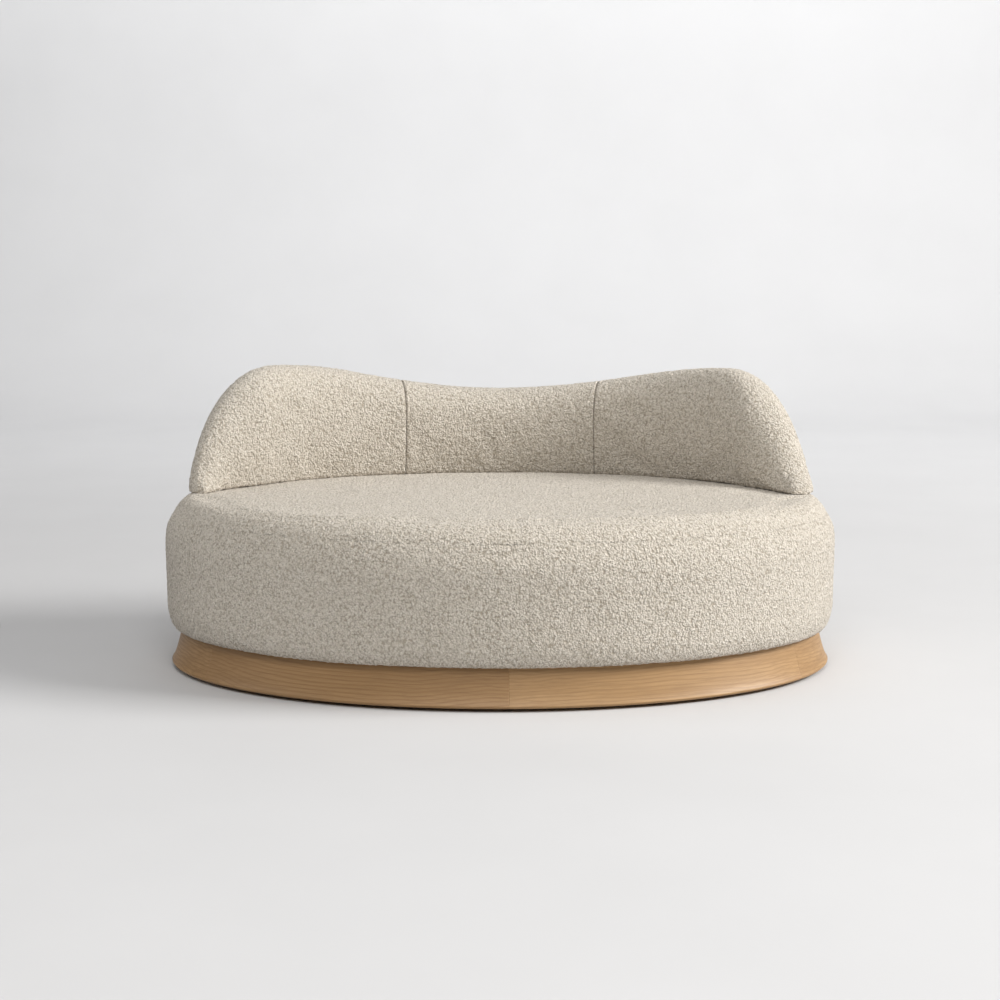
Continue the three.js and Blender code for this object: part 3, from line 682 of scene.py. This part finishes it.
def add_staves():
    """The plinth's six staves, with their sharp ends eased by sanding."""
    outline = stave_outline()
    toward = outline.mean(axis=0) - outline
    toward /= np.linalg.norm(toward, axis=1, keepdims=True)
    gap = math.degrees(STAVE_GAP / HALF_DEPTH)
    near_end = np.array(STAVE_EASE_ANGLES)
    for number, (name, tone_and_painted_light) in enumerate(STAVES.items()):
        start = STAVE_TURN + STAVE_SPAN * number
        evenly = np.linspace(start + gap, start + STAVE_SPAN - gap, 61)
        first = evenly[0] + near_end
        last = evenly[-1] - near_end[::-1]
        stations = np.concatenate([evenly[:1], first, evenly[1:-1], last, evenly[-1:]])
        ease = np.zeros(len(stations))
        ease[[0, -1]] = STAVE_EASE[0]
        ease[[1, -2]] = STAVE_EASE[1]
        inset = outline[None, :, 0] + toward[None, :, 0] * ease[:, None]
        z = outline[None, :, 1] + toward[None, :, 1] * ease[:, None]
        points = on_oval(stations[:, None], inset, z)
        index = np.arange(inset.size).reshape(inset.shape)
        faces = grid_faces(index, closed=True)
        faces += [index[0].tolist(), index[-1].tolist()]
        piece = add_mesh(f"plinth_stave_{name}_oak", points, faces)
        turn_outwards(piece)
        let_in_braces(piece)
        piece.data.materials.append(oak_material(name, start + STAVE_SPAN / 2, number, tone_and_painted_light))
        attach(piece, "root")
        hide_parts(f"plinth_stave_{name}")


def let_in_braces(piece):
    """Cuts the housings that the braces' ends sit in."""
    for brace in ("long", "left", "right"):
        cut = piece.modifiers.new("Housing", "BOOLEAN")
        cut.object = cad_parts[f"plinth_brace_{brace}"]
        cut.operation = "DIFFERENCE"
        cut.solver = "EXACT"
    done = piece.evaluated_get(bpy.context.evaluated_depsgraph_get())
    mesh = bpy.data.meshes.new_from_object(done)
    piece.modifiers.clear()
    piece.data = mesh
    mesh.name = piece.name
    mesh.materials.clear()
    mesh.set_sharp_from_angle(angle=math.radians(35))


# ---- materials ----
class Recipe:
    """A node material that is built up by short calls."""

    def __init__(self, name, roughness, **constants):
        self.material = bpy.data.materials.new(name)
        self.material.use_nodes = True
        self.tree = self.material.node_tree
        self.shader = self.tree.nodes["Principled BSDF"]
        self.shader.inputs["Roughness"].default_value = roughness
        for socket, value in constants.items():
            self.shader.inputs[socket.replace("_", " ")].default_value = value
        self.place = self.add("ShaderNodeTexCoord").outputs["Object"]

    def add(self, kind, inputs=None, **settings):
        """A new node, with links or values on its inputs."""
        node = self.tree.nodes.new(kind)
        for key, value in settings.items():
            setattr(node, key, value)
        for key, value in (inputs or {}).items():
            if isinstance(value, bpy.types.NodeSocket):
                self.tree.links.new(value, node.inputs[key])
            else:
                node.inputs[key].default_value = value
        return node

    def math(self, operation, *values):
        node = self.add("ShaderNodeMath", dict(enumerate(values)), operation=operation)
        return node.outputs[0]

    def vector(self, operation, *values):
        node = self.add("ShaderNodeVectorMath", dict(enumerate(values)), operation=operation)
        return node.outputs[0]

    def mapped(self, vector, turn=0.0, scale=(1, 1, 1), shift=(0, 0, 0)):
        inputs = {"Vector": vector, "Rotation": (0, 0, turn), "Scale": scale, "Location": shift}
        return self.add("ShaderNodeMapping", inputs).outputs[0]

    def noise(self, vector, scale, detail=2.0):
        inputs = {"Vector": vector, "Scale": scale, "Detail": detail}
        return self.add("ShaderNodeTexNoise", inputs)

    def cells(self, vector, scale, smoothness=None):
        inputs = {"Vector": vector, "Scale": scale}
        feature = "F1"
        if smoothness:
            feature = "SMOOTH_F1"
            inputs["Smoothness"] = smoothness
        return self.add("ShaderNodeTexVoronoi", inputs, feature=feature).outputs["Distance"]

    def between(self, value, low, high, to_low=0.0, to_high=1.0):
        inputs = {0: value, 1: low, 2: high, 3: to_low, 4: to_high}
        return self.add("ShaderNodeMapRange", inputs).outputs[0]

    def ramp(self, value, *stops):
        node = self.add("ShaderNodeValToRGB", {"Fac": value})
        elements = node.color_ramp.elements
        while len(elements) < len(stops):
            elements.new(0.5)
        for element, (position, color) in zip(elements, stops):
            element.position = position
            element.color = (*color, 1)
        return node.outputs["Color"]

    def mix(self, share, one, other):
        node = self.add("ShaderNodeMix", {0: share}, data_type="RGBA")
        for key, value in ((6, one), (7, other)):
            if isinstance(value, bpy.types.NodeSocket):
                self.tree.links.new(value, node.inputs[key])
            else:
                node.inputs[key].default_value = (*value, 1)
        return node.outputs[2]

    def bump(self, height, distance, strength=1.0):
        inputs = {"Height": height, "Distance": distance, "Strength": strength}
        return self.add("ShaderNodeBump", inputs).outputs["Normal"]

    def finish(self, color, normal=None, roughness=None):
        """Links what the shader gets, and gives the finished material."""
        for socket, value in (("Base Color", color), ("Normal", normal), ("Roughness", roughness)):
            if value is not None:
                self.tree.links.new(value, self.shader.inputs[socket])
        return self.material


BOUCLE_LIGHT = (0.80, 0.745, 0.66)
BOUCLE_MID = (0.66, 0.60, 0.515)
BOUCLE_GAP_SHADE = (0.37, 0.32, 0.25)
# painted shade in the grooves of the back's seams
SEAM_SHADE_COLOR = (0.16, 0.13, 0.10)


def painted_seam_shade(r):
    """Painted shade along the back's two seams, strongest on the seam lines, which lie across the
    oval.
    """
    start = oval(np.array(float(SEAM_ANGLE)), np.array(0.0))
    turn = math.radians(SEAM_ANGLE)
    along = np.array([HALF_WIDTH * math.cos(turn), -HALF_DEPTH * math.sin(turn)])
    along /= np.linalg.norm(along)
    parts = r.add("ShaderNodeSeparateXYZ", {0: r.place}).outputs
    across = r.math("MULTIPLY", r.math("ABSOLUTE", parts[0]), float(along[0]))
    across = r.math("ADD", across, r.math("MULTIPLY", parts[1], float(along[1])))
    across = r.math("ABSOLUTE", r.math("SUBTRACT", across, float(along @ start)))
    full_width = 0.0006
    strongest = 0.62
    return r.between(across, full_width, SEAM_SHADE_WIDTH, strongest, 0.0)


def boucle_material(name, seams=False):
    """Cream boucle: loops of yarn that curl round each other, with painted shade in the gaps between
    them and a painted highlight on the fine raised fluff.
    """
    r = Recipe(name, 0.93, Sheen_Weight=0.25, Sheen_Roughness=0.45, Specular_IOR_Level=0.2)
    warp = r.noise(r.place, 150.0, 2.0).outputs["Color"]
    warp = r.vector("SUBTRACT", warp, (0.5, 0.5, 0.5))
    warp = r.vector("MULTIPLY", warp, (0.007, 0.007, 0.007))
    place = r.vector("ADD", r.place, warp)
    loops = r.cells(place, 215.0, smoothness=0.2)
    curls = r.cells(r.vector("MULTIPLY", place, (1.0, 1.0, 0.55)), 185.0)
    yarn = r.math("ADD", r.math("MULTIPLY", loops, 0.6), r.math("MULTIPLY", curls, 0.4))
    gaps = r.between(yarn, 0.25, 0.75)
    fluff_and_highlight = r.noise(r.place, 900.0, 3.0).outputs["Fac"]
    # the colour darkens into the low gaps between the loops: painted shade
    color = r.ramp(gaps, (0.0, BOUCLE_LIGHT), (0.45, BOUCLE_MID), (1.0, BOUCLE_GAP_SHADE))
    patchy = r.noise(r.place, 9.0, 4.0).outputs["Fac"]
    color = r.mix(r.between(patchy, 0.35, 0.7, 0.0, 0.22), color, BOUCLE_MID)
    # the fine fluff, which is also raised, is painted lighter: a painted highlight on its tips
    color = r.mix(r.between(fluff_and_highlight, 0.3, 0.75, 0.0, 0.16), color, BOUCLE_LIGHT)
    # the back's covers get painted shade along their seams
    if seams:
        color = r.mix(painted_seam_shade(r), color, SEAM_SHADE_COLOR)
    height = r.math("SUBTRACT", 1.0, gaps)
    height = r.math("ADD", height, r.math("MULTIPLY", fluff_and_highlight, 0.22))
    return r.finish(color, r.bump(height, 0.0036, 1.0))


OAK_LIGHT = (0.435, 0.268, 0.124)
OAK_MID = (0.295, 0.166, 0.068)
OAK_DARK = (0.18, 0.094, 0.038)


def oak_material(name, middle, number, tone_and_painted_light):
    """Oak cut from a straight board, so that its year rings turn into arcs towards a stave's ends."""
    r = Recipe(f"oak_{name}", 0.5, Specular_IOR_Level=0.5)
    x, y = oval(np.array(float(middle)), np.array(0.0))
    facing = math.atan2(y * HALF_WIDTH**2, x * HALF_DEPTH**2)
    board = r.mapped(r.place, turn=math.pi / 2 - facing)
    parts = r.add("ShaderNodeSeparateXYZ", {0: board}).outputs
    reach = float(np.hypot(x, y))
    outward = r.math("SUBTRACT", parts[1], reach)
    drift = r.noise(r.mapped(board, scale=(1.4, 9, 9), shift=(number * 3.1, 0, 0)), 1.0, 3.0)
    drift = r.math("MULTIPLY", r.math("SUBTRACT", drift.outputs["Fac"], 0.5), 0.05)
    heart_out = 0.11 + 0.05 * math.sin(number * 2.3)
    heart_up = -0.17 - 0.05 * math.sin(number * 1.7 + 1)
    out = r.math("MULTIPLY", r.math("ADD", outward, heart_out), 0.5)
    rise = r.math("SUBTRACT", parts[2], heart_up)
    squared = r.math("ADD", r.math("MULTIPLY", out, out), r.math("MULTIPLY", rise, rise))
    far = r.math("SQRT", squared)
    ring = r.math("FRACT", r.math("MULTIPLY", r.math("ADD", far, drift), 120.0))
    fibre_place = r.mapped(board, scale=(14, 70, 620), shift=(number * 7.7, 0, 0))
    fibres = r.noise(fibre_place, 1.0, 3.0).outputs["Fac"]
    pores = r.noise(r.mapped(board, scale=(45, 160, 1500)), 1.0, 1.0).outputs["Fac"]
    streaks = r.noise(r.mapped(board, scale=(2.5, 12, 60)), 1.0, 2.0).outputs["Fac"]
    late = r.ramp(ring, (0.0, OAK_LIGHT), (0.45, OAK_LIGHT), (0.85, OAK_MID), (1.0, OAK_LIGHT))
    color = r.mix(r.between(streaks, 0.35, 0.7, 0.0, 0.65), late, OAK_MID)
    color = r.mix(r.between(fibres, 0.45, 0.75, 0.0, 0.6), color, OAK_DARK)
    color = r.mix(r.between(pores, 0.62, 0.72, 0.0, 0.35), color, OAK_DARK)
    # each stave is made darker or lighter as a whole: partly the boards' own tone, partly painted
    # light that is lighter on the lit right side
    color = r.mix(abs(tone_and_painted_light), color, OAK_MID if tone_and_painted_light > 0 else OAK_LIGHT)
    rough = r.between(fibres, 0.3, 0.8, 0.42, 0.56)
    return r.finish(color, r.bump(fibres, 0.0006, 0.35), rough)


def ply_material(name, light, dark, ply=0.0014):
    """Plywood: a faint face grain, and thin glued layers that show on its edges."""
    r = Recipe(name, 0.6)
    grain = r.noise(r.mapped(r.place, scale=(6, 120, 120)), 1.0, 3.0).outputs["Fac"]
    up = r.add("ShaderNodeSeparateXYZ", {0: r.place}).outputs[2]
    layer = r.math("FRACT", r.math("DIVIDE", up, ply * 2))
    color = r.mix(r.between(grain, 0.3, 0.7), light, dark)
    color = r.mix(r.between(layer, 0.45, 0.55, 0.0, 0.3), color, dark)
    return r.finish(color, r.bump(grain, 0.0004, 0.3), r.between(grain, 0.3, 0.7, 0.55, 0.75))


def foam_material():
    """Cut foam: fine open pores, slightly yellowed in patches."""
    r = Recipe("foam", 0.95, Specular_IOR_Level=0.15)
    pores = r.cells(r.place, 420.0)
    patches = r.noise(r.place, 5.0, 3.0).outputs["Fac"]
    color = r.mix(r.between(patches, 0.35, 0.7), (0.80, 0.73, 0.52), (0.72, 0.62, 0.38))
    color = r.mix(r.between(pores, 0.3, 0.8, 0.0, 0.35), color, (0.5, 0.42, 0.25))
    return r.finish(color, r.bump(pores, 0.0012, 0.6))


def webbing_material():
    """Black cloth for the webbing and the dust cover: thick ribs, greyer in patches."""
    r = Recipe("webbing", 0.85)
    ribs = r.add("ShaderNodeTexWave", {"Vector": r.place, "Scale": 90.0}, bands_direction="DIAGONAL")
    cross = r.noise(r.place, 300.0, 2.0).outputs["Fac"]
    color = r.mix(ribs.outputs["Fac"], (0.035, 0.032, 0.03), (0.09, 0.082, 0.072))
    color = r.mix(r.between(cross, 0.4, 0.7, 0.0, 0.4), color, (0.16, 0.14, 0.12))
    return r.finish(color, r.bump(ribs.outputs["Fac"], 0.0008, 0.6))


def steel_material():
    """Zinc plated steel, a little dulled and scratched."""
    r = Recipe("steel", 0.35, Metallic=1.0)
    wear = r.noise(r.place, 140.0, 4.0).outputs["Fac"]
    color = r.mix(r.between(wear, 0.3, 0.7), (0.62, 0.63, 0.64), (0.42, 0.42, 0.40))
    return r.finish(color, r.bump(wear, 0.0001, 0.3), r.between(wear, 0.3, 0.7, 0.28, 0.5))


def nylon_material():
    """Moulded black nylon with a fine texture."""
    r = Recipe("nylon", 0.5)
    grain = r.noise(r.place, 700.0, 2.0).outputs["Fac"]
    color = r.mix(r.between(grain, 0.3, 0.7), (0.007, 0.007, 0.007), (0.03, 0.029, 0.028))
    return r.finish(color, r.bump(grain, 0.0002, 0.4), r.between(grain, 0.3, 0.7, 0.45, 0.65))


BOUCLE = boucle_material("boucle")
BOUCLE_SEAM_SHADED = boucle_material("boucle_painted_seam_shade", seams=True)
FOAM = foam_material()
SLOT_MATERIALS = {
    "foam": FOAM,
    # the base ring's near black is partly a black stain and partly painted shade for the deep, narrow
    # gap under the oak
    "black_ply": ply_material("black_ply", (0.012, 0.011, 0.010), (0.022, 0.020, 0.018)),
    "birch_ply": ply_material("birch_ply", (0.66, 0.50, 0.31), (0.50, 0.35, 0.19)),
    "pine": ply_material("pine", (0.70, 0.52, 0.29), (0.56, 0.37, 0.17), ply=0.004),
    "webbing": webbing_material(),
    "steel": steel_material(),
    "nylon": nylon_material(),
}


SLOT_WORDS = {  # words in the CAD nodes' names, the first that fits
    "foam": ("foam",),
    "steel": ("bolt",),
    "webbing": ("webbing", "dust_cover"),
    "nylon": ("glide",),
    "black_ply": ("base_ring",),
    "pine": ("brace", "block", "post", "upright"),
    "birch_ply": ("ring", "rail"),
}


def slot_of(name):
    """The finish of a CAD node, by what it is."""
    for slot, words in SLOT_WORDS.items():
        if any(word in name for word in words):
            return slot
    return None


def dress_cad_nodes():
    """Gives every CAD node that stays the material of its slot."""
    for name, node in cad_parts.items():
        slot = slot_of(name)
        if slot:
            for place in node.material_slots:
                place.material = SLOT_MATERIALS[slot]


# ---- floor, light, camera ----
FLOOR_COLOR = (0.64, 0.642, 0.65)


def floor_material():
    """Pale matt paint, very slightly mottled."""
    r = Recipe("floor", 0.75, Specular_IOR_Level=0.2)
    mottle = r.noise(r.place, 2.2, 5.0).outputs["Fac"]
    darker = tuple(part * 0.975 for part in FLOOR_COLOR)
    color = r.mix(r.between(mottle, 0.3, 0.7), FLOOR_COLOR, darker)
    return r.finish(color)


def add_floor():
    """A pale floor that curves up into a backdrop behind the sofa."""
    quarter = np.radians(np.linspace(0, 90, 13))
    bend = 2.0
    rear = 6.0
    reach = 14
    top = 9
    y = np.concatenate([[-reach], rear + bend * np.sin(quarter), [rear + bend]])
    z = np.concatenate([[0], bend * (1 - np.cos(quarter)), [top]])
    x = np.linspace(-reach, reach, 9)
    points = np.stack(np.broadcast_arrays(x[None, :], y[:, None], z[:, None]), -1)
    index = np.arange(points.shape[0] * points.shape[1]).reshape(points.shape[:2])
    floor = add_mesh("floor", points, grid_faces(index))
    floor.data.materials.append(floor_material())


def add_area(name, place, target, size, power, color):
    """A rectangular softbox that is turned towards its target."""
    light = bpy.data.lights.new(name, "AREA")
    light.shape = "RECTANGLE"
    light.size, light.size_y = size
    light.energy = power
    light.color = color
    lamp = bpy.data.objects.new(name, light)
    lamp.location = place
    lamp.rotation_euler = (Vector(target) - Vector(place)).to_track_quat("-Z", "Y").to_euler()
    bpy.context.scene.collection.objects.link(lamp)


def add_light():
    """A big key from the right, and weak fills from above, the front and the left."""
    add_area("key", (8.4, -1.5, 5.3), (0, 0, 0.35), (4.4, 3.0), 1120, (1.0, 0.985, 0.965))
    add_area("sky", (0.0, -0.8, 4.6), (0, 0, 0), (6.0, 6.0), 64, (1.0, 0.99, 0.98))
    add_area("front", (0.0, -6.0, 5.6), (0, 0, 0.5), (4.0, 3.0), 232, (1.0, 0.985, 0.965))
    add_area("left", (-5.0, -1.0, 3.0), (0, 0, 0.4), (3.0, 3.0), 50, (1.0, 0.99, 0.98))
    add_area("backdrop", (0.0, 4.2, 5.0), (0, 8, 2.5), (10.0, 2.0), 245, (0.99, 0.995, 1.0))
    world = bpy.data.worlds.new("studio")
    world.use_nodes = True
    background = world.node_tree.nodes["Background"]
    background.inputs["Color"].default_value = (1.0, 0.985, 0.965, 1)
    background.inputs["Strength"].default_value = 0.06
    bpy.context.scene.world = world
    bpy.context.scene.view_settings.view_transform = "Standard"
    bpy.context.scene.view_settings.look = "None"


CAMERA_PLACE = (0.0, -4.830, 1.083)
CAMERA_PITCH = 7.95  # degrees down
CAMERA_LENS = 69.55


def add_camera():
    """The camera, a little above the sofa and looking down at it."""
    data = bpy.data.cameras.new("camera")
    data.sensor_width = 36
    data.lens = CAMERA_LENS
    camera = bpy.data.objects.new("camera", data)
    camera.location = CAMERA_PLACE
    camera.rotation_euler = (math.radians(90 - CAMERA_PITCH), 0, 0)
    bpy.context.scene.collection.objects.link(camera)
    bpy.context.scene.camera = camera


add_camera()
add_light()
add_floor()
dress_cad_nodes()
add_seat()
for panel, (stations, shift) in simulate_back().items():
    add_back_panel(panel, stations, shift)
add_back_foam()
add_staves()
